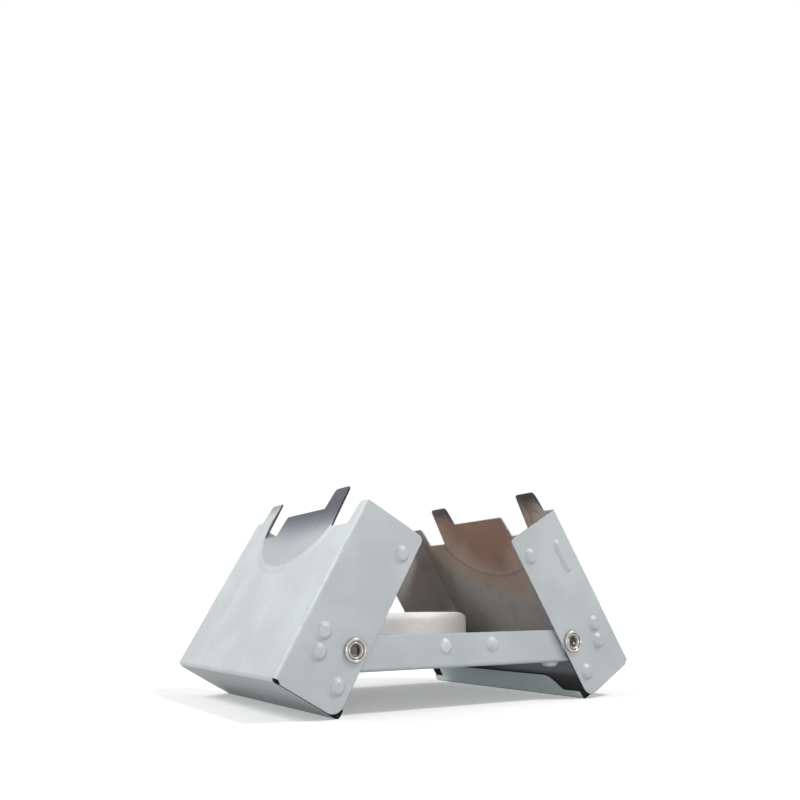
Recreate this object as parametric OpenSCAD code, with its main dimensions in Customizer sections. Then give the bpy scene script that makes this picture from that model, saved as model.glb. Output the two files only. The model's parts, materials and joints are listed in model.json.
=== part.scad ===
// Folding pocket stove for solid fuel tablets: a low tray and two hinged wings of bent sheet steel.
// The wings stand tilted apart. They close over the tray into a flat box.
// Millimetres, +Z up. X runs along the stove, from the left wing to the right wing. -Y is the front.
// The origin is on the ground, under the middle of the tray.
// A wing is drawn closed, with its hinge axis at the origin: x towards the seam, z up to the big wall.

/* [Overall] */
// Length of the closed stove, over its two end walls
closed_len = 98; // [92:0.5:106]
// Width over the side walls of the wings
wing_w = 77; // [72:0.5:84]
// Thickness of the steel sheet
sheet_t = 0.5; // [0.4:0.05:0.6]
// Outside radius of the folds
fold_r = 1; // [0.8:0.1:1.2]
// Angle that the wings are opened from closed, in degrees
tilt = 60; // [50:5:90]

/* [Wings] */
// From the hinge axis to the outer face of the end wall
end_reach = 15.45; // [14.8:0.05:16.5]
// From the hinge axis up to the outer face of the big wall, closed
wall_rise = 14.9; // [14:0.1:17]
// From the hinge axis down to the free edge of the side walls, closed
side_drop = 3.6; // [3.2:0.1:4.2]
// From the hinge axis down to the outer face of the end wall's lip, closed
lip_drop = 4.5; // [4.4:0.1:5]
// Gap between the free edges of the two closed wings
seam_gap = 0.6; // [0.4:0.1:1]
// Radius of the side walls' corners at the lip
side_corner_r = 3; // [1.5:0.5:3.5]
// Radius of the side walls' corners at the seam
seam_corner_r = 1.6; // [0.8:0.2:3]
// Gap between the end wall and the side walls
end_slit = 0.5; // [0.3:0.1:0.8]
// Depth of the relief cut at the corner where three walls meet
relief = 2.3; // [2:0.1:3]
// Length of the relief cut along the big wall
relief_in = 1.15; // [1.1:0.05:1.6]
// Depth of the lip at its low ends
lip_low = 2.7; // [2:0.1:3.2]
// Depth of the lip in its tall middle
lip_tall = 7; // [5:0.1:7.5]
// Width of the low end of the lip beside the wide ear of the tray
lip_wide_end = 7; // [5:0.5:9]
// Width of the low end of the lip at its other side
lip_narrow_end = 5.3; // [1:0.1:6]
// Length along the lip of the slope between low and tall
lip_slope = 3.6; // [3:0.2:5]
// Radius of the lip's corners at its two ends
lip_end_r = 0.6; // [0.3:0.1:1]
// Radius of the lip's corner at the narrow end of its tall middle
lip_tall_r = 1.2; // [0.6:0.1:2]
// Radius of the lip's bend at the top of its slope
lip_bend_r = 3; // [1.5:0.5:3]
// Radius of the lip's bends at the foot of its slope and of its tall middle
lip_foot_r = 1.2; // [0.5:0.1:1.2]

/* [Prongs] */
// Width of a prong where it leaves the free edge
prong_w = 10.1; // [9:0.1:11]
// Taper of each side of a prong, in width per unit of height
prong_taper = 0.13; // [0.05:0.01:0.2]
// Height of a prong above the free edge
prong_h = 6.2; // [4:0.1:7]
// Middle of the inner prong, from the middle of the wing
prong_y = 18.25; // [17:0.25:19]
// Gap on each side of a prong in its slot
prong_gap = 0.4; // [0.3:0.1:0.8]
// Gap between the tip of a prong and the bottom of its slot
prong_end_gap = 0.9; // [0.3:0.1:1.5]
// Radius of the prongs' tips
prong_tip_r = 1.2; // [0.6:0.2:2]
// Radius where a prong leaves the free edge
prong_foot_r = 0.5; // [0.3:0.1:1]
// Radius at the mouth of the outer slot
notch_mouth_r = 1.6; // [0.6:0.2:2]
// Radius at the mouth of the inner slot
slot_mouth_r = 1; // [0.4:0.1:1.6]
// Radius at the bottom of both slots, away from the prong
slot_bottom_r = 0.6; // [0.3:0.1:1]
// Radius at the bottom of both slots, beside the prong
prong_root_r = 0.3; // [0.2:0.1:0.6]

/* [Embossing] */
// Height of the locking dimples of the wings
dimple_h = 0.7; // [0.4:0.1:0.9]
// Radius of a locking dimple at its foot
dimple_r = 2.1; // [1.6:0.1:2.4]
// Radius of a locking dimple at its top
dimple_top_r = 1.3; // [0.8:0.1:1.5]
// From the hinge axis to the locking dimples around it
lock_r = 9.4; // [8.8:0.1:9.8]
// From the middle of the closed stove to the locking dimples near the seam
seam_lock_x = 7.25; // [5:0.25:9]
// Length of the raised rib on one side wall, without its round ends
rib_len = 7.2; // [4:0.2:9]
// Radius of the rib
rib_r = 0.65; // [0.5:0.05:0.8]
// Middle of the rib, from the hinge axis along the wing
rib_x = 21.1; // [18:0.5:24]
// Middle of the rib, above the hinge axis
rib_z = 9.9; // [7:0.1:11]
// Half length along the stove of the raised oval across the seam
oval_x = 17.8; // [14:0.2:20]
// Half width of the raised oval
oval_y = 25.6; // [20:0.2:28]
// Height of the raised oval
oval_h = 0.3; // [0.2:0.05:0.45]

/* [Tray] */
// From the hinge axis up to the rim of the tray
tray_rise = 3.2; // [2.9:0.1:5]
// From the hinge axis down to the underside of the tray
tray_drop = 5.3; // [5.1:0.1:5.8]
// Gap between the side walls of the wings and those of the tray
side_gap = 0.65; // [0.6:0.05:0.8]
// Radius of the corners of the tray's side walls
tray_corner_r = 2.4; // [1:0.2:3]
// Gap between the ends of the tray and the lips that swing past them
swing_gap = 0.3; // [0.2:0.05:0.5]
// Gap along the lip between its slope and the ear of the tray
ear_gap = 0.6; // [0.4:0.1:1.2]
// Height of the step under the side wall's end where no ear carries it
ear_step = 0.6; // [0.5:0.1:1]
// Height of the locking pips on the tray
pip_h = 0.5; // [0.3:0.05:0.5]
// Radius of a locking pip at its foot
pip_r = 2; // [1.2:0.1:2]
// Radius of a locking pip at its top
pip_top_r = 1.1; // [0.6:0.1:1.1]
// Radius of the flat raised boss around each rivet
boss_r = 3.5; // [3.2:0.1:4]
// Gap between a boss and the wing that turns on it
boss_gap = 0.15; // [0.1:0.05:0.3]
// Radius of the knob pressed down in the floor of the tray at its foot
knob_r = 2.6; // [1.5:0.1:3]
// Radius of the knob at its tip
knob_tip_r = 1.6; // [0.8:0.1:1.7]
// Depth of the knob under the floor
knob_h = 1.3; // [0.8:0.1:1.4]
// From the hinge axis in to the middle of the knob
knob_in = 4.6; // [3.5:0.1:8]

/* [Rivets] */
// Inside radius of a hollow rivet
rivet_bore_r = 1.5; // [1:0.05:1.6]
// Wall of a hollow rivet
rivet_wall = 0.35; // [0.25:0.05:0.4]
// Outer radius of the rolled head
head_r = 3; // [2.6:0.1:3.2]
// Outer radius of the flared end inside the tray
flare_r = 2.7; // [2.4:0.1:2.9]
// Radial clearance of a rivet in its wing
rivet_fit = 0.05; // [0.02:0.01:0.1]
// Gap under the head of a rivet
head_gap = 0.1; // [0.05:0.05:0.3]

/* [Fuel tablet] */
// Length of the fuel tablet
tablet_len = 36; // [20:0.5:38]
// Width of the fuel tablet
tablet_w = 22; // [14:0.5:26]
// Height of the fuel tablet
tablet_h = 13; // [8:0.5:13]
// Radius of the upright corners of the tablet
tablet_corner_r = 2; // [1:0.5:5]
// Height of the bevel around the top and bottom of the tablet
tablet_bevel_h = 1.6; // [1:0.1:2]
// Width of the bevel
tablet_bevel_w = 2.2; // [1:0.1:3]

/* [Hidden] */
$fn = 48;
eps = 0.01;
corner_steps = 5;
half_w = wing_w / 2;
inner_w = half_w - sheet_t;
fold_in = fold_r - sheet_t;
pivot_x = closed_len / 2 - end_reach;
free_x = pivot_x - seam_gap / 2;
step_r = ear_step / 2;
// The lips' folds stand on the ground, which sets the height of the hinge axes
pivot_z = (end_reach - fold_r) * sin(tilt) + (lip_drop - fold_r) * cos(tilt) + fold_r;
wall_in = wall_rise - sheet_t;
// Where the folds along the big wall's sides and back begin
fold_y = half_w - fold_r;
fold_x = -end_reach + fold_r;
// How far a cut runs past what it cuts
past = 1;
// The outer prong stands one prong and one gap further out than the inner one
outer_prong_y = prong_y + prong_w + prong_gap;
slot_d = prong_h - seam_gap + prong_end_gap;
end_half_w = inner_w - end_slit;
tray_w = inner_w - side_gap;
tray_in = tray_w - sheet_t;
// The tray's ends stay inside the circles that the lips' edges swing through
lip_in_z = lip_drop - sheet_t;
tall_swing = norm([end_reach - lip_tall, lip_in_z]) - swing_gap;
low_swing = norm([end_reach - lip_low, lip_in_z]) - swing_gap;
floor_end = sqrt(pow(tall_swing, 2) - pow(tray_drop, 2));
ear_end = sqrt(pow(low_swing, 2) - pow(tray_drop, 2));
ear_y = end_half_w - lip_wide_end + ear_gap;
// Ends of the tray beside the tall middle of a lip, and at an ear
short_x = pivot_x + floor_end;
full_x = pivot_x + ear_end;
// Locking pips along the tray: one beyond each hinge and one on each side of the middle
pip_places = [-pivot_x - lock_r, -seam_lock_x, seam_lock_x, pivot_x + lock_r];
boss_h = side_gap - boss_gap;
// How much smaller the hollow back of a bump is than its front
back_in = sheet_t / 2;
rivet_r = rivet_bore_r + rivet_wall;
head_y = half_w + head_gap;
// Inner face of the bosses, which the rivets' flares lie on
recess_y = tray_in + boss_h;
steel = [0.72, 0.745, 0.76];
nickel = [0.80, 0.79, 0.76];
fuel_white = [0.93, 0.90, 0.87];

// Unit vector along v
function unit(v) = v / norm(v);
// Points of the round corner at p between its neighbours a and b
function corner(a, p, b, r) =
    let (to_a = unit(a - p), to_b = unit(b - p),
         half_turn = acos(to_a * to_b) / 2,
         centre = p + unit(to_a + to_b) * r / sin(half_turn),
         first = p + to_a * r / tan(half_turn) - centre,
         side = cross(to_a, to_b) > 0 ? -1 : 1,
         sweep = 180 - 2 * half_turn)
    [for (i = [0:corner_steps])
        let (turn = side * sweep * i / corner_steps)
        centre + [first[0] * cos(turn) - first[1] * sin(turn),
                  first[0] * sin(turn) + first[1] * cos(turn)]];
// Outline through the points [x, y, radius], with each corner rounded by its radius
function rounded(pts) =
    let (n = len(pts), at = function(i) [pts[(i + n) % n][0], pts[(i + n) % n][1]])
    [for (i = [0:n - 1])
        each (pts[i][2] > 0 ? corner(at(i - 1), at(i), at(i + 1), pts[i][2]) : [at(i)])];

// Flat outline in X and Z, made t thick towards +Y from y
module upright(y, t) {
    translate([0, y + t, 0]) rotate([90, 0, 0]) linear_extrude(t) children();
}
// Flat outline in Y and Z, made t thick towards +X from x
module crosswise(x, t) {
    translate([x, 0, 0]) rotate([90, 0, 90]) linear_extrude(t) children();
}
// Quarter of a fold along X, round the origin, filling +y and +z
module quarter_fold(length) {
    rotate([90, 0, 90]) linear_extrude(length) intersection() {
        difference() {
            circle(fold_r);
            circle(fold_in);
        }
        square(2 * fold_r);
    }
}
// Round bump that rises from r_foot to r_top over h, along +Z
module bump(r_foot, r_top, h) {
    cylinder(h = h, r1 = r_foot, r2 = r_top);
}

// Free edge of the big wall, from its front side to its rear side.
// Front: prong inside, slot outside. Rear: slot inside, prong outside.
function free_edge() =
    let (half = prong_w / 2,
         lean = prong_taper,
         tip = free_x + prong_h,
         low = free_x - slot_d,
         near_out = -outer_prong_y - half - prong_gap,
         near_mid = -prong_y - half,
         near_in = -prong_y + half,
         far_in = prong_y - half - prong_gap,
         far_mid = outer_prong_y - half,
         far_out = outer_prong_y + half)
    [[free_x, near_out, notch_mouth_r], [low, near_out + lean * slot_d, slot_bottom_r],
     [low, near_mid - lean * slot_d, prong_root_r], [tip, near_mid + lean * prong_h, prong_tip_r],
     [tip, near_in - lean * prong_h, prong_tip_r], [free_x, near_in, prong_foot_r],
     [free_x, far_in, slot_mouth_r], [low, far_in + lean * slot_d, slot_bottom_r],
     [low, far_mid - lean * slot_d, prong_root_r], [tip, far_mid + lean * prong_h, prong_tip_r],
     [tip, far_out - lean * prong_h, prong_tip_r], [free_x, far_out, prong_foot_r]];

// Big wall between its folds, with prongs and slots
module wall_outline() {
    polygon(rounded(concat(
        [[fold_x, fold_y, 0], [fold_x, -fold_y, 0], [free_x, -fold_y, 0]],
        free_edge(),
        [[free_x, fold_y, 0]])));
}
// Oval across the seam, smaller all round by inset
module oval(inset) {
    a = oval_x - inset;
    b = oval_y - inset;
    polygon([for (i = [0:71]) [pivot_x + a * cos(i * 5), b * sin(i * 5)]]);
}
// One side wall up to its fold
module side_outline() {
    top = wall_rise - fold_r;
    polygon(rounded([
        [free_x, top, 0], [-end_reach + relief_in, top, 0], [-end_reach, wall_rise - relief, 0],
        [-end_reach, -side_drop, side_corner_r], [free_x, -side_drop, seam_corner_r]]));
}
// Cut at the corner where the big, side and end walls meet, on the side of +Y
module relief_cut() {
    upright(end_half_w - end_slit, half_w - end_half_w + end_slit + past)
        polygon([
            [-end_reach - past, wall_rise + past], [-end_reach + relief_in, wall_rise + past],
            [-end_reach + relief_in, wall_rise], [-end_reach, wall_rise - relief],
            [-end_reach - past, wall_rise - relief]]);
}
// Lip under the closed tray, low at both ends and tall between
module lip_outline() {
    low = -end_reach + lip_low;
    tall = -end_reach + lip_tall;
    wide = end_half_w - lip_wide_end;
    narrow = -end_half_w + lip_narrow_end;
    polygon(rounded([
        [fold_x, -end_half_w, 0], [low, -end_half_w, lip_end_r],
        [low, narrow, lip_end_r], [tall, narrow, lip_tall_r],
        [tall, wide - lip_slope, lip_bend_r], [low, wide, lip_foot_r],
        [low, end_half_w, lip_end_r], [fold_x, end_half_w, 0]]));
}
// Places of the locking dimples on a side wall: three around the hinge, one near the seam
function dimple_places() = concat(
    [for (turn = [180, 120, 90]) lock_r * [cos(turn), sin(turn)]],
    [[pivot_x - seam_lock_x, 0]]);

// Solid of the embossing on the outside of one side wall, on the side of +Y
module side_bumps(r_foot, r_top, y) {
    for (p = dimple_places())
        translate([p[0], y, p[1]]) rotate([-90, 0, 0]) bump(r_foot, r_top, dimple_h);
}
// Rib with round ends, along the wing, on the side of +Y
module rib(r) {
    for (end = [-1, 1])
        translate([rib_x + end * rib_len / 2, half_w, rib_z]) sphere(r);
    translate([rib_x - rib_len / 2, half_w, rib_z]) rotate([0, 90, 0]) cylinder(h = rib_len, r = r);
}

// Pressed sheet of one wing before its hollows: walls, folds, lip and embossing
module wing_sheet() {
    // Big wall with its raised half oval
    translate([0, 0, wall_in]) linear_extrude(sheet_t) wall_outline();
    translate([0, 0, wall_in + oval_h]) linear_extrude(sheet_t) intersection() {
        wall_outline();
        oval(0);
    }
    // End wall, its fold to the big wall, its fold to the lip, and the lip
    crosswise(-end_reach, sheet_t)
        translate([-end_half_w, -lip_drop + fold_r])
            square([2 * end_half_w, wall_rise + lip_drop - 2 * fold_r]);
    translate([fold_x, -fold_y, wall_rise - fold_r]) rotate([0, 0, 90]) quarter_fold(2 * fold_y);
    translate([fold_x, -end_half_w, -lip_drop + fold_r]) rotate([0, 0, 90]) mirror([0, 0, 1])
        quarter_fold(2 * end_half_w);
    translate([0, 0, -lip_drop]) linear_extrude(sheet_t) lip_outline();
    // Side walls, their folds and their locking dimples
    for (side = [0, 1]) mirror([0, side, 0]) {
        upright(inner_w, sheet_t) side_outline();
        translate([-end_reach, fold_y, wall_rise - fold_r]) quarter_fold(free_x + end_reach);
        side_bumps(dimple_r, dimple_top_r, half_w - eps);
    }
    rib(rib_r);
}
// One wing, closed, around its hinge axis
module wing() {
    color(steel) difference() {
        wing_sheet();
        // Hollow back of the half oval
        translate([0, 0, wall_in - eps]) linear_extrude(oval_h + eps) intersection() {
            wall_outline();
            oval(sheet_t);
        }
        // Hollow backs of the dimples, the rivets' holes and the relief cuts
        for (side = [0, 1]) mirror([0, side, 0]) {
            side_bumps(dimple_r - back_in, dimple_top_r - back_in, inner_w - eps);
            translate([0, inner_w - past, 0]) rotate([-90, 0, 0])
                cylinder(h = sheet_t + 2 * past, r = rivet_r + rivet_fit);
            relief_cut();
        }
        // Hollow back of the rib
        intersection() {
            rib(rib_r - back_in);
            translate([rib_x - rib_len, inner_w - past, rib_z - past])
                cube([2 * rib_len, 2 * past, 2 * past]);
        }
    }
}
// The left wing, tilted open about its rivets. The right wing is the same piece turned half round.
module placed_wing() {
    translate([-pivot_x, 0, pivot_z]) rotate([0, -tilt, 0]) wing();
}
module left_wing() { placed_wing(); }
module right_wing() { rotate([0, 0, 180]) placed_wing(); }

// Floor of the tray between its folds: a wide ear at front right and at rear left only
module floor_outline() {
    edge = tray_w - fold_r;
    half = [[short_x, edge, 0], [short_x, -ear_y + lip_slope, lip_bend_r],
            [full_x, -ear_y, lip_foot_r], [full_x, -edge, 0]];
    polygon(rounded(concat(half, [for (p = half) [-p[0], -p[1], p[2]]])));
}
// One side wall of the tray above its fold, with an ear at its right end only
module tray_side_outline() {
    low = -tray_drop + fold_r;
    step = low + ear_step;
    polygon(rounded([
        [full_x, tray_rise, tray_corner_r], [full_x, low, 0],
        [-short_x, low, 0], [-short_x, step, step_r], [-full_x, step, step_r],
        [-full_x, tray_rise, tray_corner_r]]));
}

// Knob pressed down in the floor beside the ear, from height top, smaller all round by inset
module knob(top, inset) {
    translate([pivot_x - knob_in, -tray_w + fold_r + knob_r, top + eps]) rotate([180, 0, 0])
        bump(knob_r - inset, knob_tip_r - inset, knob_h + eps);
}
// Front half of the tray's sheet: its side wall, fold, pips, bosses and knob
module tray_front() {
    upright(-tray_w, sheet_t) tray_side_outline();
    translate([-short_x, -tray_w + fold_r, -tray_drop + fold_r])
        mirror([0, 0, 1]) mirror([0, 1, 0]) quarter_fold(short_x + full_x);
    for (x = pip_places)
        translate([x, -tray_w + eps, 0]) rotate([90, 0, 0]) bump(pip_r, pip_top_r, pip_h + eps);
    for (x = [-pivot_x, pivot_x])
        translate([x, -tray_w + eps, 0]) rotate([90, 0, 0]) bump(boss_r + boss_h, boss_r, boss_h + eps);
    knob(-tray_drop, 0);
}
// Hollow backs of the pips, bosses and knob of the front half, and the rivets' holes
module tray_front_hollows() {
    for (x = pip_places)
        translate([x, -tray_in + eps, 0]) rotate([90, 0, 0])
            bump(pip_r - back_in, pip_top_r - back_in, pip_h);
    for (x = [-pivot_x, pivot_x]) translate([x, -tray_in + eps, 0]) rotate([90, 0, 0]) {
        bump(boss_r + boss_h - back_in, boss_r - back_in, boss_h + eps);
        cylinder(h = sheet_t + boss_h + past, r = rivet_r);
    }
    knob(-tray_drop + sheet_t, back_in);
}
// The tray around the hinge axes, before it is lifted to their height
module tray_shape() {
    color(steel) difference() {
        union() {
            translate([0, 0, -tray_drop]) linear_extrude(sheet_t) floor_outline();
            for (turn = [0, 180]) rotate([0, 0, turn]) tray_front();
        }
        for (turn = [0, 180]) rotate([0, 0, turn]) tray_front_hollows();
    }
}
module tray() {
    translate([0, 0, pivot_z]) tray_shape();
}

// Half round section of a rolled edge, from the bore out to radius r
module roll(r) {
    thick = (r - rivet_bore_r) / 2;
    translate([rivet_bore_r + thick, 0]) intersection() {
        circle(thick);
        translate([-thick, 0]) square([2 * thick, thick]);
    }
}
// Hollow rivet along +Y from the middle of the stove: rolled head outside, flared end in the tray
module rivet() {
    color(nickel) rotate([-90, 0, 0]) rotate_extrude() {
        translate([rivet_bore_r, recess_y]) square([rivet_wall, head_y - recess_y]);
        translate([0, head_y]) roll(head_r);
        translate([0, recess_y]) mirror([0, 1]) roll(flare_r);
    }
}
module placed_rivet(side_x, side_y) {
    translate([side_x * pivot_x, 0, pivot_z]) rotate([0, 0, side_y > 0 ? 0 : 180]) rivet();
}
module left_front_rivet() { placed_rivet(-1, -1); }
module left_rear_rivet() { placed_rivet(-1, 1); }
module right_front_rivet() { placed_rivet(1, -1); }
module right_rear_rivet() { placed_rivet(1, 1); }

// Outline of the tablet, smaller all round by inset
function tablet_outline(inset) =
    let (x = tablet_len / 2 - inset, y = tablet_w / 2 - inset, r = tablet_corner_r)
    rounded([[x, y, r], [-x, y, r], [-x, -y, r], [x, -y, r]]);
// Pressed fuel tablet with bevelled edges, lying on the floor of the tray
module fuel_tablet() {
    color(fuel_white) translate([0, 0, pivot_z - tray_drop + sheet_t]) {
        translate([0, 0, tablet_bevel_h])
            linear_extrude(tablet_h - 2 * tablet_bevel_h) polygon(tablet_outline(0));
        for (up = [0, 1]) translate([0, 0, up * tablet_h]) mirror([0, 0, up]) hull() {
            linear_extrude(eps) polygon(tablet_outline(tablet_bevel_w));
            translate([0, 0, tablet_bevel_h]) linear_extrude(eps) polygon(tablet_outline(0));
        }
    }
}

tray();
left_wing();
right_wing();
left_front_rivet();
left_rear_rivet();
right_front_rivet();
right_rear_rivet();
fuel_tablet();
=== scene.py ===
import json
from math import acos, ceil, cos, pi, radians, sin, tan

import bpy
import numpy as np
from mathutils import Matrix, Vector, noise
from mathutils.geometry import delaunay_2d_cdt


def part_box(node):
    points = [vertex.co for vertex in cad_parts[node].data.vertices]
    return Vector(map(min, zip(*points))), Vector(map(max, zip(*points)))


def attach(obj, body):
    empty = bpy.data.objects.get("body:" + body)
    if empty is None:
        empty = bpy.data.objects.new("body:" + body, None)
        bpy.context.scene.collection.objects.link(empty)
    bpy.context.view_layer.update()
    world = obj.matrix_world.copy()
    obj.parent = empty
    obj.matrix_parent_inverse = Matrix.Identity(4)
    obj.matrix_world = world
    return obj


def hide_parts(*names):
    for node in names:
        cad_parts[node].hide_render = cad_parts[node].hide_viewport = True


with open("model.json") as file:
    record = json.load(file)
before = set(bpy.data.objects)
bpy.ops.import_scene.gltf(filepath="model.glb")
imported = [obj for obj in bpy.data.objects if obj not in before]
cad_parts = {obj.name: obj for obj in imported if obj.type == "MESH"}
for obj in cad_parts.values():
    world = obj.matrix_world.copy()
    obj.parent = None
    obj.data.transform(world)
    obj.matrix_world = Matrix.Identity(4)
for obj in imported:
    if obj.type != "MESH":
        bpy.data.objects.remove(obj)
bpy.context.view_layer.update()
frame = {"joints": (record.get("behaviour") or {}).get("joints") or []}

# Lengths are in millimetres up to each mesh, and MM turns them into metres.
MM = 0.001

# Floor, in metres: half its size, colour, glow of its plain middle, and how far out it starts and ends
# turning white
FLOOR_SIZE = 6.0
FLOOR_COLOR = (0.86, 0.86, 0.86, 1)
FLOOR_GLOW = 0.3
FLOOR_PLAIN_R = 0.08
FLOOR_WHITE_R = 0.35

# Light: strength of the world on the stove, and each lamp's place, size and power, in metres and watts
SOFT_LIGHT = 0.35
LAMP_TARGET = (0, 0, 0.03)
LAMPS = {
    "key": ((-0.42, 0.34, 0.46), 0.25, 2.4),
    "front": ((0.27, -0.33, 0.56), 0.16, 2.5),
    "low": ((-0.32, -0.42, 0.06), 0.07, 0.36)}

# Camera fitted to the edges in the photograph
CAMERA_AT = (-130.7, -229.6, 25.7)
CAMERA_YAW = 30.0
CAMERA_PITCH = 13.3
CAMERA_ROLL = -0.74
FOCAL_PX = 866.0
FRAME_PX = 800
SENSOR = 36.0
CLIP_START = 0.01

# Steel sheet: thickness, outer radius of its folds, their radius and length at mid thickness,
# width of the chamfer on its cut edges, and steps round a fold
SHEET = 0.5
FOLD_R = 1.0
MID_R = FOLD_R - SHEET / 2
ARC = MID_R * pi / 2
RIM = 0.07
FOLD_STEPS = 6

# Mesh: spacing along an outline, and points round a hole, a pressed round, a rib's ends and the oval
EDGE_STEP = 1.6
HOLE_POINTS = 32
BUMP_POINTS = 28
RIB_POINTS = 40
OVAL_POINTS = 90

# Points along a wing's side folds, its end folds and the tray's folds
SIDE_FOLD_POINTS = 32
END_FOLD_POINTS = 48
TRAY_FOLD_POINTS = 54

# Distance between rows of an even triangle grid, as a share of its spacing
ROW_SHARE = 0.87

# Step over which slopes are worked out, and turn over which a rim's corner stays sharp
NUDGE = 0.01
SHARP_TURN = radians(30)

# Where the wings turn, from the frame's hinges, and how far they are turned up at rest
HINGE = {joint["child"]: joint["pos_m"] for joint in frame["joints"] if joint["type"] == "hinge"}
PIVOT_X = -HINGE["left_wing"][0] / MM
PIVOT_Z = HINGE["left_wing"][2] / MM
TILT = radians(60)

# A wing, closed around its hinge axis: u towards the seam, v up to the big wall, y across
HALF_W = 38.5
END_REACH = 15.45
WALL_RISE = 14.9
SIDE_DROP = 3.6
LIP_DROP = 4.5
SEAM_GAP = 0.3
FREE_U = PIVOT_X - SEAM_GAP
FOLD_Y = HALF_W - FOLD_R
FOLD_U = -END_REACH + FOLD_R
FOLD_V = WALL_RISE - FOLD_R
END_LEN = FOLD_V + LIP_DROP - FOLD_R
END_HALF_W = 37.5
END_SLIT = 0.5
RELIEF = 1.9
RELIEF_IN = 0.7
SIDE_CORNER_R = 3.0
SEAM_CORNER_R = 1.6

# Middle of a wing's seam at rest, in metres, with x made positive
SEAM_MIDDLE = [x * MM for x in (
    PIVOT_X - PIVOT_X * cos(TILT) + WALL_RISE * sin(TILT),
    0,
    PIVOT_Z + PIVOT_X * sin(TILT) + WALL_RISE * cos(TILT))]

# Lip of the end wall
LIP_LOW = 2.7
LIP_TALL = 7.0
LIP_WIDE_END = 7.0
LIP_NARROW_END = 5.3
LIP_SLOPE = 3.6
LIP_END_R = 0.6
LIP_TALL_R = 1.2
LIP_BEND_R = 5.0
LIP_FOOT_R = 1.2

# Prongs and slots of the free edge
PRONG_W = 10.1
PRONG_H = 6.2
PRONG_LEAN = 0.13
PRONG_Y = 18.25
PRONG_GAP = 0.4
OUTER_PRONG_Y = PRONG_Y + PRONG_W + PRONG_GAP
SLOT_D = 6.5
PRONG_TIP_R = 1.2
PRONG_FOOT_R = 0.5
NOTCH_MOUTH_R = 1.6
SLOT_MOUTH_R = 1.0
SLOT_BOTTOM_R = 0.6
PRONG_ROOT_R = 0.3

# Pressed rounds: height, radius of the foot, and radius of the flat top
DIMPLE = (0.8, 2.2, 1.05)
PIP = (0.55, 2.15, 0.9)
BOSS = (0.5, 3.3, 2.8)
KNOB = (1.3, 2.7, 1.4)

# Their places: turns round the hinge for closed, tilted and upright, distance from the hinge axis
# and from the seam, and a knob's distance from the hinge and from the fold
LOCK_TURNS = (180, 120, 90)
LOCK_R = 9.4
SEAM_LOCK_X = 7.25
KNOB_IN = 4.6
KNOB_FOLD = 2.6

# Rib: height and half width, length, place of its middle, and shares of its half width with mesh rings
RIB = (0.75, 1.35)
RIB_LEN = 7.2
RIB_AT = (21.1, 9.9)
RIB_RINGS = (0.01, 0.25, 0.42, 0.56, 0.68, 0.8, 0.92, 1.06)

# Raised oval across the seam: half axes of its foot and of its top, height, and width of its flank
OVAL = (20.2, 27.8)
OVAL_TOP = (18.3, 25.9)
OVAL_H = 0.2
OVAL_RAMP = 2.2

# Tray, around the height of the hinge axes. Its full half length comes from its node's box.
TRAY_RISE = 3.2
TRAY_DROP = 5.3
TRAY_HALF_W = 37.35
TRAY_FOLD_Y = TRAY_HALF_W - FOLD_R
TRAY_SHORT = 40.88
TRAY_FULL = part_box("tray")[1].x / MM
EAR_GAP = 0.6
EAR_Y = END_HALF_W - LIP_WIDE_END + EAR_GAP
EAR_STEP = 0.6
TRAY_CORNER_R = 2.4

# Rivets: radius of the tube and its play, places of head and flare across the stove, and the end of
# the tube: the groove round it and how unevenly it is rolled
RIVET_R = 1.85
RIVET_FIT = 0.05
RIVET_POINTS = 72
HEAD_GAP = 0.1
HEAD_Y = HALF_W + HEAD_GAP
RECESS_Y = TRAY_HALF_W - SHEET + BOSS[0]
GROOVE_R = 2.07
ROLL_DEPTH = 0.4
ROLL_WAVES = 1.3
ROLL_WIDER = 0.12
ROLL_HIGHER = 0.08

# Their outlines as (radius, height): over the head into the bore, and round the flare inside the tray
EYELET_HEAD = [
    (1.85, 0), (2.8, 0), (2.95, 0.06), (3.0, 0.2), (2.96, 0.4), (2.84, 0.58), (2.66, 0.71), (2.48, 0.74),
    (2.32, 0.69), (2.2, 0.56), (2.13, 0.42), (2.07, 0.38), (2.01, 0.43), (1.94, 0.54), (1.85, 0.58),
    (1.75, 0.55), (1.64, 0.44), (1.5, 0.22), (1.34, -0.04), (1.2, -0.35), (1.1, -0.7), (1.06, -1.1)]
EYELET_FLARE = [
    (1.12, 0), (1.28, 0.24), (1.56, 0.46), (1.95, 0.59), (2.25, 0.57), (2.5, 0.43), (2.66, 0.2), (2.7, 0),
    (1.85, 0)]

# Fuel tablet: width and height of its bevel, corners, mesh, foot that isn't worn, and wear above it
TABLET_BEVEL = (2.2, 2.0)
TABLET_CORNER_R = 2.0
TABLET_POINTS = 120
TABLET_ROW = 0.45
BEVEL_STEPS = 8
TABLET_FLAT = (0.94, 0.85, 0.72, 0.58, 0.44, 0.3, 0.16, 0.05)
TABLET_FOOT = 0.4
TABLET_INSET = 0.12
TABLET_WAVES = ((0.9, 0.10), (3.1, 0.04))
CHIP_WAVES = 0.6
CHIP_SHIFT = (7, 3, 1)
CHIP_FROM = 0.15
CHIP_REACH = 1.6
CHIP_DEPTH = 0.8


# Flat blanks and folded sheets


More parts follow.
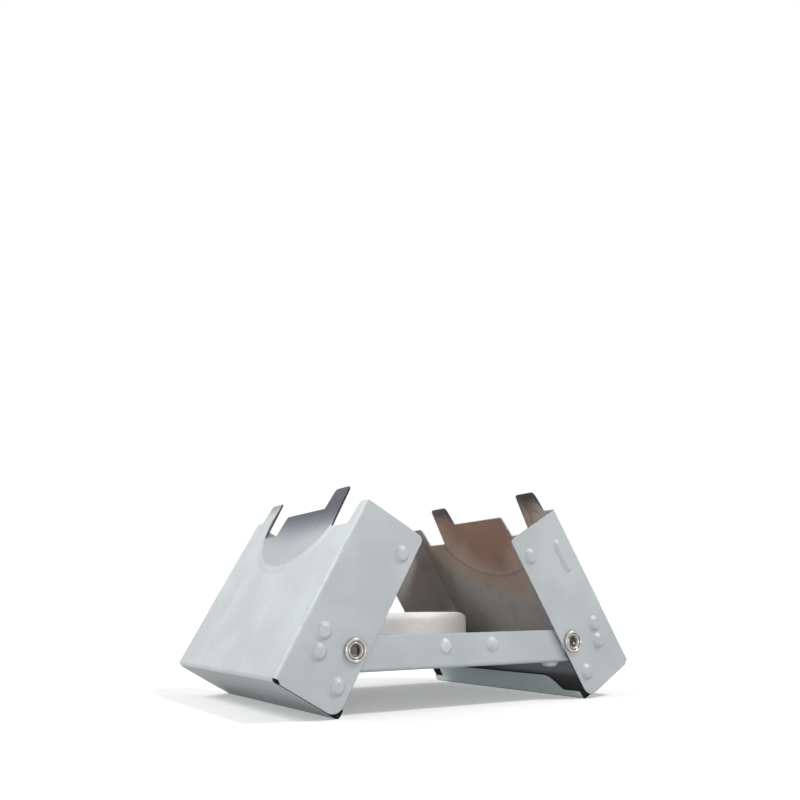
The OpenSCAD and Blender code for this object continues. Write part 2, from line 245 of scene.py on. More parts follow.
def rounded(points, steps=6):
    """Closed outline through points (s, t, radius), with each corner rounded by its radius."""
    out = []
    for i, (s, t, r) in enumerate(points):
        p = np.array([s, t])
        if r == 0:
            out.append(p)
            continue
        to_a = np.array(points[i - 1][:2]) - p
        to_b = np.array(points[(i + 1) % len(points)][:2]) - p
        to_a, to_b = to_a / np.linalg.norm(to_a), to_b / np.linalg.norm(to_b)
        half = acos(np.clip(to_a @ to_b, -1, 1)) / 2
        centre = p + (to_a + to_b) * r / sin(half) / np.linalg.norm(to_a + to_b)
        first = p + to_a * r / tan(half) - centre
        side = -1 if to_a[0] * to_b[1] - to_a[1] * to_b[0] > 0 else 1
        for k in range(steps + 1):
            turn = side * (pi - 2 * half) * k / steps
            spin = np.array([[cos(turn), -sin(turn)], [sin(turn), cos(turn)]])
            out.append(centre + spin @ first)
    return out


def dense(loop, step):
    """The loop with points added on its long edges, at most step apart."""
    out = []
    for a, b in zip(loop, loop[1:] + loop[:1]):
        n = max(1, ceil(np.linalg.norm(b - a) / step))
        out += [a + (b - a) * k / n for k in range(n)]
    return out


def ring(centre, r, n):
    """Round loop of n points."""
    turns = [2 * pi * k / n for k in range(n)]
    return [np.array(centre) + r * np.array([cos(turn), sin(turn)]) for turn in turns]


def bump_spots(at, size):
    """Rings of spots over a pressed round, close set on its flank."""
    _, foot, top = size
    radii = [0.01, top * 0.5, *np.linspace(top - 0.12, foot + 0.1, 8)]
    return [p for r in radii for p in ring(at, r, BUMP_POINTS)]


def step_up(x):
    """Smooth step from 0 to 1 as x goes from 0 to 1."""
    x = np.clip(x, 0, 1)
    return x * x * (3 - 2 * x)


def ridge(x):
    """Height of a pressed rib over its share x of the way from its middle line to its foot."""
    return (1 - np.clip(x, 0, 1) ** 2) ** 1.5


def bump(s, t, at, size):
    """Height over the blank of a pressed round, whose size is its height, foot radius and top radius."""
    height, foot, top = size
    return height * step_up((foot - np.hypot(s - at[0], t - at[1])) / (foot - top))


def inside(points, loops):
    """Which points are in the first loop and in none of the others."""
    s, t = np.array(points).T[:, :, None]
    odd = []
    for loop in loops:
        a, b = np.array(loop), np.roll(loop, -1, 0)
        crosses = (a[:, 1] > t) != (b[:, 1] > t)
        rise = np.where(b[:, 1] == a[:, 1], 1, b[:, 1] - a[:, 1])
        crossing = a[:, 0] + (t - a[:, 1]) * (b[:, 0] - a[:, 0]) / rise
        odd.append((crosses & (s < crossing)).sum(1) % 2 == 1)
    return odd[0] & ~np.any(odd[1:], axis=0)


def clear_of(points, others, gap):
    """Which points keep a gap from all the others."""
    return (np.linalg.norm(points[:, None] - others[None], axis=2) > gap).all(1)


def blank(loops, lines, spots, pitch=1.7, keep_off=0.45):
    """Triangles of a flat blank, from its outline and holes, with lines as edges and spots as points."""
    points, edges = [], []
    for loop in loops:
        first = len(points)
        points += loop
        edges += [(first + k, first + (k + 1) % len(loop)) for k in range(len(loop))]
    for line in lines:
        first = len(points)
        points += line
        edges += [(first + k, first + k + 1) for k in range(len(line) - 1)]
    fixed, spots = np.array(points), np.array(spots)
    low, high = fixed.min(0), fixed.max(0)
    spots = spots[clear_of(spots, fixed, keep_off / 2) & inside(spots, loops)]
    rows = np.arange(low[1] + pitch / 2, high[1], pitch * ROW_SHARE)
    grid = np.array([(s, t) for k, t in enumerate(rows)
                     for s in np.arange(low[0] + pitch / (2 - k % 2), high[0], pitch)])
    grid = grid[clear_of(grid, np.vstack([fixed, spots]), keep_off * pitch) & inside(grid, loops)]
    all_points = [Vector(p) for p in [*points, *spots, *grid]]
    verts, _, faces, *_ = delaunay_2d_cdt(all_points, edges, [], 1, 1e-5)
    verts, faces = np.array(verts), np.array(faces)
    faces = faces[inside(verts[faces].mean(1), loops)]
    ab, ac = verts[faces[:, 1]] - verts[faces[:, 0]], verts[faces[:, 2]] - verts[faces[:, 0]]
    wrong = ab[:, 0] * ac[:, 1] < ab[:, 1] * ac[:, 0]
    faces[wrong] = faces[wrong][:, [0, 2, 1]]
    return verts, [tuple(int(v) for v in face) for face in faces]


def rim_of(verts, tris):
    """Rim edges of the blank with the inward directions at their ends, and each rim point's offset."""
    seen = {(a, b) for tri in tris for a, b in zip(tri, tri[1:] + tri[:1])}
    edges = [(a, b) for a, b in sorted(seen) if (b, a) not in seen]
    inward = {}
    for a, b in edges:
        d = verts[b] - verts[a]
        inward[(a, b)] = np.array([-d[1], d[0]]) / np.linalg.norm(d)
    before, after = {b: (a, b) for a, b in edges}, {a: (a, b) for a, b in edges}
    offset, soft = {}, {}
    for v in before:
        one, two = inward[before[v]], inward[after[v]]
        together = one @ two
        offset[v] = (one + two) / max(1 + together, 0.5)
        soft[v] = (one + two) / np.linalg.norm(one + two) if together > cos(SHARP_TURN) else None
    ends = {e: [inward[e] if soft[v] is None else soft[v] for v in e] for e in edges}
    return ends, offset


def folded_sheet(name, verts, tris, surface, outward, materials):
    """Sheet metal piece: the blank on its folded and embossed mid surface, with chamfered cut edges.

    surface(s, t) gives millimetres. Its d/ds x d/dt times outward, 1 or -1, faces the outer side.
    """
    ends, offset = rim_of(verts, tris)
    rim = sorted(offset)
    shifted = verts.copy()
    for v in rim:
        shifted[v] += RIM * offset[v]

    def frame_at(flat):
        """Places, outer normals and directions along and across, at points of the blank."""
        s, t = flat.T
        d = NUDGE
        along = surface(s + d, t) - surface(s - d, t)
        across = surface(s, t + d) - surface(s, t - d)
        n = np.cross(along, across) * outward
        n /= np.linalg.norm(n, axis=1)[:, None]
        return surface(s, t), n, along, across

    place, normal, _, _ = frame_at(shifted)
    edge_place, edge_normal, edge_along, edge_across = frame_at(verts[rim])
    slot_of = {v: k for k, v in enumerate(rim)}
    count = len(verts)
    low_rim = SHEET / 2 - RIM
    co = np.concatenate([
        place + normal * SHEET / 2, place - normal * SHEET / 2,
        edge_place + edge_normal * low_rim, edge_place - edge_normal * low_rim])
    faces, slots, normals = [], [], []
    for tri in tris:
        tri = tri if outward > 0 else tri[::-1]
        faces.append(tri)
        normals += [normal[v] for v in tri]
        slots.append(0)
    for tri in tris:
        tri = tri[::-1] if outward > 0 else tri
        faces.append(tuple(v + count for v in tri))
        normals += [-normal[v] for v in tri]
        slots.append(1)
    for (a, b), (in_a, in_b) in ends.items():
        ka, kb = slot_of[a], slot_of[b]
        out = []
        for k, way in ((ka, in_a), (kb, in_b)):
            r = -(edge_along[k] * way[0] + edge_across[k] * way[1])
            out.append(r / np.linalg.norm(r))
        ra, rb = out
        na, nb = edge_normal[ka], edge_normal[kb]
        up_a, up_b = 2 * count + ka, 2 * count + kb
        down_a, down_b = up_a + len(rim), up_b + len(rim)
        strips = (
            ((b, a, up_a, up_b), (rb + nb, ra + na, ra + na, rb + nb)),
            ((up_b, up_a, down_a, down_b), (rb, ra, ra, rb)),
            ((down_b, down_a, a + count, b + count), (rb - nb, ra - na, ra - na, rb - nb)))
        for quad, quad_normals in strips:
            quad_normals = [n / np.linalg.norm(n) for n in quad_normals]
            if outward < 0:
                quad, quad_normals = quad[::-1], quad_normals[::-1]
            faces.append(quad)
            normals += quad_normals
            slots.append(2)
    mesh = bpy.data.meshes.new(name)
    mesh.from_pydata((co * MM).tolist(), [], faces)
    mesh.polygons.foreach_set("material_index", slots)
    for material in materials:
        mesh.materials.append(material)
    mesh.normals_split_custom_set([tuple(n) for n in normals])
    obj = bpy.data.objects.new(name, mesh)
    bpy.context.scene.collection.objects.link(obj)
    return obj


# Wings


def side_t(v):
    """Place across the blank of height v on a side wall of a wing."""
    return FOLD_Y + ARC + FOLD_V - v


def end_s(v):
    """Place along the blank of height v on the end wall."""
    return FOLD_U - ARC - (FOLD_V - v)


def lip_s(u):
    """Place along the blank of u on the lip."""
    return FOLD_U - 2 * ARC - END_LEN - (u - FOLD_U)


def wing_outline():
    """Outline of a wing's blank, from the front end of the free edge round to its start."""
    half, lean = PRONG_W / 2, PRONG_LEAN
    tip, low = FREE_U + PRONG_H, FREE_U - SLOT_D
    near_out, near_mid, near_in = -OUTER_PRONG_Y - half - PRONG_GAP, -PRONG_Y - half, -PRONG_Y + half
    far_in, far_mid, far_out = PRONG_Y - half - PRONG_GAP, OUTER_PRONG_Y - half, OUTER_PRONG_Y + half
    free_edge = [
        (FREE_U, near_out, NOTCH_MOUTH_R), (low, near_out + lean * SLOT_D, SLOT_BOTTOM_R),
        (low, near_mid - lean * SLOT_D, PRONG_ROOT_R), (tip, near_mid + lean * PRONG_H, PRONG_TIP_R),
        (tip, near_in - lean * PRONG_H, PRONG_TIP_R), (FREE_U, near_in, PRONG_FOOT_R),
        (FREE_U, far_in, SLOT_MOUTH_R), (low, far_in + lean * SLOT_D, SLOT_BOTTOM_R),
        (low, far_mid - lean * SLOT_D, PRONG_ROOT_R), (tip, far_mid + lean * PRONG_H, PRONG_TIP_R),
        (tip, far_out - lean * PRONG_H, PRONG_TIP_R), (FREE_U, far_out, PRONG_FOOT_R)]
    corner_v = WALL_RISE - RELIEF
    flap = [
        (FREE_U, side_t(-SIDE_DROP), SEAM_CORNER_R), (-END_REACH, side_t(-SIDE_DROP), SIDE_CORNER_R),
        (-END_REACH, side_t(corner_v), 0), (-END_REACH + RELIEF_IN, side_t(FOLD_V), 0),
        (-END_REACH + RELIEF_IN, END_HALF_W - END_SLIT, 0), (end_s(corner_v), END_HALF_W - END_SLIT, 0),
        (end_s(corner_v), END_HALF_W, 0)]
    low_u, tall_u = -END_REACH + LIP_LOW, -END_REACH + LIP_TALL
    wide, narrow = END_HALF_W - LIP_WIDE_END, -END_HALF_W + LIP_NARROW_END
    lip = [
        (lip_s(low_u), END_HALF_W, LIP_END_R), (lip_s(low_u), wide, LIP_FOOT_R),
        (lip_s(tall_u), wide - LIP_SLOPE, LIP_BEND_R), (lip_s(tall_u), narrow, LIP_TALL_R),
        (lip_s(low_u), narrow, LIP_END_R), (lip_s(low_u), -END_HALF_W, LIP_END_R)]
    near_flap = [(s, -t, r) for s, t, r in reversed(flap)]
    return rounded([*free_edge, *flap, *lip, *near_flap])


def wing_mid(s, t):
    """Mid surface of a folded wing before its embossing, as (u, y, v)."""
    over_t = np.abs(t) - FOLD_Y
    over_s = FOLD_U - s
    turn_t = np.clip(over_t / MID_R, 0, pi / 2)
    turn_s = np.clip(over_s / MID_R, 0, pi / 2)
    turn_lip = np.clip((over_s - ARC - END_LEN) / MID_R, 0, pi / 2)
    on_side = over_t > 0
    on_end = (over_s > 0) & ~on_side
    y = np.sign(t) * np.where(on_side, FOLD_Y + MID_R * np.sin(turn_t), np.abs(t))
    # Beside the relief cut the side fold follows the end fold, less and less as it turns down.
    corner = np.clip(1 - 2 * turn_t / pi, 0, 1)
    corner_drop = corner * MID_R * (1 - np.cos(turn_s))
    side_v = FOLD_V + MID_R * np.cos(turn_t) - np.maximum(over_t - ARC, 0) - corner_drop
    end_down = np.clip(over_s - ARC, 0, END_LEN)
    lip_in = np.maximum(over_s - 2 * ARC - END_LEN, 0)
    end_v = FOLD_V + MID_R * np.cos(turn_s) - end_down - MID_R * np.sin(turn_lip)
    end_u = FOLD_U - MID_R * np.sin(turn_s) + MID_R * (1 - np.cos(turn_lip)) + lip_in
    side_u = s + (over_s > 0) * corner * (end_u - s)
    u = np.where(on_end, end_u, side_u)
    v = np.where(on_side, side_v, np.where(on_end, end_v, FOLD_V + MID_R))
    return np.stack([u, y, v], -1)


def wing_dimples():
    """Places of the locking dimples on the blank, on both side walls."""
    around = [(LOCK_R * cos(radians(a)), LOCK_R * sin(radians(a))) for a in LOCK_TURNS]
    return [(u, side * side_t(v)) for side in (-1, 1) for u, v in [*around, (PIVOT_X - SEAM_LOCK_X, 0)]]


def rib_distance(s, t):
    """Distance from the middle line of the rib, which is on the rear side wall."""
    along = np.clip(s - RIB_AT[0], -RIB_LEN / 2, RIB_LEN / 2)
    return np.hypot(s - RIB_AT[0] - along, t - side_t(RIB_AT[1]))


def oval_distance(s, t):
    """Rough distance inside the edge of the raised oval."""
    return (1 - np.hypot((s - PIVOT_X) / OVAL[0], t / OVAL[1])) * (OVAL[0] + OVAL[1]) / 2


def wing_height(s, t):
    """Height of the embossing over a wing's blank."""
    h = sum(bump(s, t, at, DIMPLE) for at in wing_dimples())
    h = h + RIB[0] * ridge(rib_distance(s, t) / RIB[1])
    oval = OVAL_H * step_up(oval_distance(s, t) / OVAL_RAMP)
    return h + np.where(np.abs(t) < FOLD_Y, oval, 0)


def rib_spots():
    """Rings of spots over the rib."""
    middle, side = RIB_AT[0], side_t(RIB_AT[1])
    spots = []
    for d in np.array(RIB_RINGS) * RIB[1]:
        for k in range(RIB_POINTS):
            turn = 2 * pi * k / RIB_POINTS
            end = RIB_LEN / 2 * (1 if cos(turn) > 0 else -1)
            spots.append(np.array([middle + end + d * cos(turn), side + d * sin(turn)]))
        for s in np.linspace(-RIB_LEN / 2, RIB_LEN / 2, 10):
            spots += [np.array([middle + s, side + way * d]) for way in (-1, 1)]
    return spots


def oval_spots():
    """Half rings of spots over the flank of the raised oval."""
    spots = []
    for share in (0, 0.2, 0.4, 0.6, 0.8, 1):
        inset = share * OVAL_RAMP * 2 / (OVAL[0] + OVAL[1])
        for k in range(OVAL_POINTS):
            turn = pi / 2 + pi * k / (OVAL_POINTS - 1)
            s = PIVOT_X + OVAL[0] * (1 - inset) * cos(turn)
            spots.append(np.array([s, OVAL[1] * (1 - inset) * sin(turn)]))
    return spots


def wing_blank():
    """Triangles of a wing's blank, close set over its folds and embossing."""
    outline = dense(wing_outline(), EDGE_STEP)
    holes = [ring((0, side * side_t(0)), RIVET_R + RIVET_FIT, HOLE_POINTS) for side in (-1, 1)]
    lines = []
    for k in range(FOLD_STEPS + 1):
        part = ARC * k / FOLD_STEPS
        for side in (-1, 1):
            t = side * (FOLD_Y + part)
            along = np.linspace(-END_REACH + RELIEF_IN, FREE_U, SIDE_FOLD_POINTS)
            lines.append([np.array([s, t]) for s in along])
        across = ((FOLD_U - part, END_HALF_W - END_SLIT), (end_s(-LIP_DROP + FOLD_R) - part, END_HALF_W))
        for s, half in across:
            lines.append([np.array([s, t]) for t in np.linspace(-half, half, END_FOLD_POINTS)])
    spots = []
    for at in wing_dimples():
        spots += bump_spots(at, DIMPLE)
    return blank([outline, *holes], lines, [*spots, *rib_spots(), *oval_spots()])


def build_wing(name, side, verts, tris, materials):
    """One wing at its place: side is -1 for the left wing and 1 for the right wing."""

    def surface(s, t):
        d = NUDGE
        mid = wing_mid(s, t)
        n = np.cross(wing_mid(s + d, t) - wing_mid(s - d, t), wing_mid(s, t + d) - wing_mid(s, t - d))
        n /= np.linalg.norm(n, axis=1)[:, None]
        u, y, v = (mid + n * wing_height(s, t)[:, None]).T
        x = -PIVOT_X + u * cos(TILT) - v * sin(TILT)
        z = PIVOT_Z + u * sin(TILT) + v * cos(TILT)
        return np.stack([-side * x, -side * y, z], -1)

    return folded_sheet(name, verts, tris, surface, 1, materials)


# Tray


def tray_t(z):
    """Place across the blank of height z, from the hinge axes, on a side wall of the tray."""
    return TRAY_FOLD_Y + ARC + z + TRAY_DROP - FOLD_R


def tray_outline():
    """Outline of the tray's blank, the same when it is turned half round."""
    step_t = TRAY_FOLD_Y + ARC + EAR_STEP
    half = [
        (TRAY_FULL, -tray_t(TRAY_RISE), TRAY_CORNER_R), (TRAY_FULL, -EAR_Y, LIP_FOOT_R),
        (TRAY_SHORT, -EAR_Y + LIP_SLOPE, LIP_BEND_R), (TRAY_SHORT, step_t, EAR_STEP / 2),
        (TRAY_FULL, step_t, EAR_STEP / 2), (TRAY_FULL, tray_t(TRAY_RISE), TRAY_CORNER_R)]
    return rounded([*half, *[(-s, -t, r) for s, t, r in half]])


def tray_mid(s, t):
    """Mid surface of the folded tray before its embossing."""
    over = np.abs(t) - TRAY_FOLD_Y
    turn = np.clip(over / MID_R, 0, pi / 2)
    y = np.sign(t) * np.where(over > 0, TRAY_FOLD_Y + MID_R * np.sin(turn), np.abs(t))
    z = -TRAY_DROP + FOLD_R - MID_R * np.cos(turn) + np.maximum(over - ARC, 0)
    return np.stack([s, y, z], -1)


def tray_bumps():
    """Places on the blank and sizes of the tray's pips, bosses and knobs."""
    pips = [(s, side * tray_t(0), PIP) for side in (-1, 1)
            for s in (-PIVOT_X - LOCK_R, -SEAM_LOCK_X, SEAM_LOCK_X, PIVOT_X + LOCK_R)]
    bosses = [(s, side * tray_t(0), BOSS) for side in (-1, 1) for s in (-PIVOT_X, PIVOT_X)]
    knob_s, knob_t = PIVOT_X - KNOB_IN, TRAY_FOLD_Y - KNOB_FOLD
    return [*pips, *bosses, (knob_s, -knob_t, KNOB), (-knob_s, knob_t, KNOB)]


def build_tray(name, materials):
    """The tray at its place."""
    outline = dense(tray_outline(), EDGE_STEP)
    centres = [(s, side * tray_t(0)) for s in (-PIVOT_X, PIVOT_X) for side in (-1, 1)]
    holes = [ring(centre, RIVET_R, HOLE_POINTS) for centre in centres]
    lines = []
    for k in range(FOLD_STEPS + 1):
        t = TRAY_FOLD_Y + ARC * k / FOLD_STEPS
        along = np.linspace(-TRAY_SHORT, TRAY_FULL, TRAY_FOLD_POINTS)
        lines.append([np.array([s, -t]) for s in along])
        along = np.linspace(-TRAY_FULL, TRAY_SHORT, TRAY_FOLD_POINTS)
        lines.append([np.array([s, t]) for s in along])
    spots = []
    for s, t, size in tray_bumps():
        spots += bump_spots((s, t), size)
    verts, tris = blank([outline, *holes], lines, spots, pitch=2)

    def surface(s, t):
        d = NUDGE
        mid = tray_mid(s, t)
        n = np.cross(tray_mid(s, t + d) - tray_mid(s, t - d), tray_mid(s + d, t) - tray_mid(s - d, t))
        n /= np.linalg.norm(n, axis=1)[:, None]
        h = sum(bump(s, t, (at_s, at_t), size) for at_s, at_t, size in tray_bumps())
        return mid + n * h[:, None] + [0, 0, PIVOT_Z]

    return folded_sheet(name, verts, tris, surface, -1, materials)


# Rivets


def build_eyelet(name, side_x, side_y, material):
    """Hollow rivet of one hinge: rolled head outside, end of the tube rolled in it, flare in the tray."""
    outline = [(r, HEAD_Y + h) for r, h in EYELET_HEAD] + [(r, RECESS_Y - h) for r, h in EYELET_FLARE]
    co, faces = [], []
    for k in range(RIVET_POINTS):
        turn = 2 * pi * k / RIVET_POINTS
        around = Vector((cos(turn), sin(turn), side_x + 3 * side_y))
        wobble = noise.noise(around * ROLL_WAVES)
        for r, y in outline:
            if y > HEAD_Y - ROLL_DEPTH and r < GROOVE_R:
                r, y = r + ROLL_WIDER * wobble, y + ROLL_HIGHER * wobble
            co.append((side_x * PIVOT_X + r * cos(turn), side_y * y, PIVOT_Z + r * sin(turn)))
        for i in range(len(outline)):
            j = (i + 1) % len(outline)
            a, b = k * len(outline), (k + 1) % RIVET_POINTS * len(outline)
            quad = (a + i, b + i, b + j, a + j)
            faces.append(quad if side_y > 0 else quad[::-1])
    mesh = bpy.data.meshes.new(name)
    mesh.from_pydata([tuple(x * MM for x in p) for p in co], [], faces)
    mesh.materials.append(material)
    mesh.shade_smooth()
    obj = bpy.data.objects.new(name, mesh)
    bpy.context.scene.collection.objects.link(obj)
    return obj


# Fuel tablet


def tablet_loop(half, inset):
    """The tablet's outline with rounded corners, inset all round, as evenly spaced points."""
    x, y, r = half.x - inset, half.y - inset, TABLET_CORNER_R
    corners = rounded([(x, y, r), (-x, y, r), (-x, -y, r), (x, -y, r)], 10)
    points = np.array(dense(corners, 0.4))
    steps = np.linalg.norm(np.roll(points, -1, 0) - points, axis=1)
    at = np.concatenate([[0], np.cumsum(steps)])
    closed = np.vstack([points, points[:1]])
    want = np.linspace(0, at[-1], TABLET_POINTS, endpoint=False)
    return np.stack([np.interp(want, at, closed[:, k]) for k in (0, 1)], -1)


def tablet_rows(half):
    """Rows of points from the middle of the tablet's bottom, up its side, to the middle of its top."""
    bevel_in, bevel_h = TABLET_BEVEL
    tall = 2 * half.z
    turns = [pi / 2 * k / BEVEL_STEPS for k in range(BEVEL_STEPS + 1)]
    profile = [(bevel_in * (1 - sin(a)), bevel_h * (1 - cos(a))) for a in turns]
    profile += [(0, z) for z in np.arange(bevel_h + TABLET_ROW, tall - bevel_h - 0.2, TABLET_ROW)]
    profile += [(bevel_in * (1 - cos(a)), tall - bevel_h * (1 - sin(a))) for a in turns]
    side = [(tablet_loop(half, inset), z) for inset, z in profile]
    flat = tablet_loop(half, bevel_in)
    top = [(flat * share, tall) for share in TABLET_FLAT]
    bottom = [(flat * share, 0) for share in reversed(TABLET_FLAT)]
    levels = [*bottom, *side, *top]
    return np.array([np.column_stack([loop, np.full(TABLET_POINTS, z)]) for loop, z in levels])


def tablet_wear(p, middle, half):
    """How far the tablet is worn in at a place: uneven all over, and chipped at the edges of its ends."""
    rough = sum(noise.noise(p * waves) * depth for waves, depth in TABLET_WAVES)
    edge = abs(abs(p.x - middle.x) - half.x) + abs(abs(p.z - middle.z) - half.z)
    loose = max(0, noise.noise(p * CHIP_WAVES + Vector(CHIP_SHIFT)) - CHIP_FROM)
    return TABLET_INSET + rough + loose * max(0, CHIP_REACH - edge) * CHIP_DEPTH


def build_tablet(name, material):
    """Pressed fuel tablet with worn bevels and a fine grain, in the room of its CAD node."""
    low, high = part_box("fuel_tablet")
    half = (high - low) / 2 / MM
    middle = (high + low) / 2 / MM
    rows = tablet_rows(half)
    n = TABLET_POINTS
    faces = []
    for r in range(len(rows) - 1):
        for k in range(n):
            j = (k + 1) % n
            faces.append((r * n + k, r * n + j, (r + 1) * n + j, (r + 1) * n + k))
    faces.append(tuple(range(n))[::-1])
    faces.append(tuple((len(rows) - 1) * n + k for k in range(n)))
    lift = middle - Vector((0, 0, half.z))
    mesh = bpy.data.meshes.new(name)
    mesh.from_pydata(((rows.reshape(-1, 3) + np.array(lift)) * MM).tolist(), [], faces)
    mesh.materials.append(material)
    mesh.shade_smooth()
    for vertex in mesh.vertices:
        p = vertex.co / MM
        inward = (middle * MM - vertex.co).normalized()
        if p.z > middle.z - half.z + TABLET_FOOT:
            vertex.co += inward * tablet_wear(p, middle, half) * MM
    obj = bpy.data.objects.new(name, mesh)
    bpy.context.scene.collection.objects.link(obj)
    return obj


# Materials


class Nodes:
    """Short way to write a material's nodes."""

    def __init__(self, name):
        self.material = bpy.data.materials.new(name)
        self.material.use_nodes = True
        self.tree = self.material.node_tree
        self.shader = self.tree.nodes["Principled BSDF"]
        self.place = self.tree.nodes.new("ShaderNodeTexCoord").outputs["Object"]

    def link(self, a, b):
        """Links an output to an input."""
        self.tree.links.new(a, b)

    def set(self, socket, value):
        """Gives a socket a link or a plain value."""
        if isinstance(value, bpy.types.NodeSocket):
            self.link(value, socket)
        else:
            socket.default_value = value

    def noise(self, scale, detail=3, rough=0.5, stretch=(1, 1, 1)):
        """Noise over the piece, with its axes stretched by three factors."""
        mapping = self.tree.nodes.new("ShaderNodeMapping")
        mapping.inputs["Scale"].default_value = stretch
        self.link(self.place, mapping.inputs["Vector"])
        node = self.tree.nodes.new("ShaderNodeTexNoise")
        node.inputs["Scale"].default_value = scale
        node.inputs["Detail"].default_value = detail
        node.inputs["Roughness"].default_value = rough
        self.link(mapping.outputs["Vector"], node.inputs["Vector"])
        return node.outputs["Fac"]

    def both_sides(self):
        """The place with its coordinates made positive, for what both wings have alike."""
        node = self.tree.nodes.new("ShaderNodeVectorMath")
        node.operation = "ABSOLUTE"
        self.link(self.place, node.inputs[0])
        return node.outputs["Vector"]

    def part(self, vector, axis):
        """One coordinate of a vector."""
        node = self.tree.nodes.new("ShaderNodeSeparateXYZ")
        self.link(vector, node.inputs["Vector"])
        return node.outputs[axis]

    def downward(self):
        """How far the surface looks down at rest, from 0 for level to 1 for straight down."""
        normal = self.tree.nodes["Texture Coordinate"].outputs["Normal"]
        return self.times(self.part(normal, "Z"), -1)

    def height(self):
        """Height above the ground at rest, in metres."""
        return self.part(self.place, "Z")

    def band(self, value, low, high, soft):
        """1 between two values, falling to 0 over a soft edge inside them."""
        return self.times(self.ramp(value, low, low + soft), self.ramp(value, high, high - soft))

    def ramp(self, value, low, high, to_low=0.0, to_high=1.0):
        """Smooth step from to_low to to_high as a value goes from low to high."""
        node = self.tree.nodes.new("ShaderNodeMapRange")
        for key, x in (("From Min", low), ("From Max", high), ("To Min", to_low), ("To Max", to_high)):
            node.inputs[key].default_value = x
        node.interpolation_type = "SMOOTHSTEP"
        self.set(node.inputs["Value"], value)
        return node.outputs["Result"]

    def math(self, kind, a, b=0.0):
        """Sum, difference, product or the like of two values."""
        node = self.tree.nodes.new("ShaderNodeMath")
        node.operation = kind
        self.set(node.inputs[0], a)
        self.set(node.inputs[1], b)
        return node.outputs[0]

    def times(self, a, b):
        return self.math("MULTIPLY", a, b)

    def mix(self, factor, a, b):
        """Colour from a to b by a factor."""
        node = self.tree.nodes.new("ShaderNodeMix")
        node.data_type = "RGBA"
        self.set(node.inputs["Factor"], factor)
        self.set(node.inputs["A"], a)
        self.set(node.inputs["B"], b)
        return node.outputs["Result"]

    def distance(self, point, stretch, place=None):
        """Distance from a point in metres, along axes stretched by three factors."""
        mapping = self.tree.nodes.new("ShaderNodeMapping")
        mapping.inputs["Location"].default_value = [-p * s for p, s in zip(point, stretch)]
        mapping.inputs["Scale"].default_value = stretch
        self.link(place or self.place, mapping.inputs["Vector"])
        node = self.tree.nodes.new("ShaderNodeVectorMath")
        node.operation = "LENGTH"
        self.link(mapping.outputs["Vector"], node.inputs[0])
        return node.outputs["Value"]

    def bump(self, height, distance, strength=1.0):
        """Fine relief from a height, for what is too small for the mesh."""
        node = self.tree.nodes.new("ShaderNodeBump")
        node.inputs["Distance"].default_value = distance
        node.inputs["Strength"].default_value = strength
        self.link(height, node.inputs["Height"])
        self.link(node.outputs["Normal"], self.shader.inputs["Normal"])

    def finish(self, color, roughness, **fixed):
        """Sets the shader's colour, roughness and plain values, and gives the material."""
        self.set(self.shader.inputs["Base Color"], color)
        self.set(self.shader.inputs["Roughness"], roughness)
        for key, value in fixed.items():
            self.shader.inputs[key.replace("_", " ")].default_value = value
        return self.material


# Zinc: clean, paler and duller patches, worn folds under a painted highlight, painted shade where the
# sheet looks down, a painted pale sheen on the lip near the ground, and how metallic zinc and soot are
ZINC = (0.43, 0.455, 0.468, 1)
ZINC_PALE = (0.48, 0.507, 0.52, 1)
ZINC_DULL = (0.375, 0.393, 0.402, 1)
ZINC_WORN_HIGHLIGHT = (0.62, 0.65, 0.66, 1)
ZINC_UNDER_SHADE = (0.235, 0.26, 0.26, 1)
ZINC_LIP_SHEEN = (0.60, 0.68, 0.68, 1)
ZINC_METAL = 0.33
SOOT_METAL = 0.05

# Outside: painted dark reflection over the pressed oval, painted blue reflection towards the seam,
# painted shade partly heat tint on its top, and painted shade partly soot on the prongs and their tips
OVAL_REFLECTION_GREY = (0.31, 0.323, 0.345, 1)
BLUE_REFLECTION = (0.17, 0.187, 0.235, 1)
HEAT_AND_SHADE_DARK = (0.055, 0.062, 0.082, 1)
PRONG_SHADE_AND_SOOT = (0.075, 0.08, 0.098, 1)
THIN_SOOT = (0.12, 0.11, 0.105, 1)

# Heat and soot inside: grey, brown and deep brown tint, painted shade at the foot of the oval, soot,
# painted shade in the low corners, and tray
TINT_GREY = (0.43, 0.39, 0.37, 1)
TINT_BROWN = (0.43, 0.295, 0.225, 1)
TINT_DEEP = (0.25, 0.12, 0.075, 1)
OVAL_FOOT_SHADE = (0.10, 0.085, 0.08, 1)
SOOT = (0.03, 0.026, 0.024, 1)
LOW_CORNER_SHADE = (0.07, 0.075, 0.08, 1)
RESIDUE = (0.16, 0.14, 0.125, 1)

# Cut edges with painted shade, partly soot; rivets with painted shade, partly dirt; and fuel
CUT_DARK = (0.24, 0.245, 0.25, 1)
CUT_PALE = (0.40, 0.41, 0.415, 1)
CUT_SHADE_AND_SOOT = (0.02, 0.02, 0.02, 1)
NICKEL = (0.48, 0.465, 0.44, 1)
NICKEL_WORN = (0.34, 0.32, 0.295, 1)
GROOVE_SHADE_AND_DIRT = (0.07, 0.062, 0.055, 1)
BORE_SHADE_AND_DIRT = (0.15, 0.12, 0.105, 1)
FUEL = (0.92, 0.90, 0.88, 1)
FUEL_PALE = (0.95, 0.94, 0.93, 1)

# Depth of the finest grain, in metres
GRAIN = 0.00002

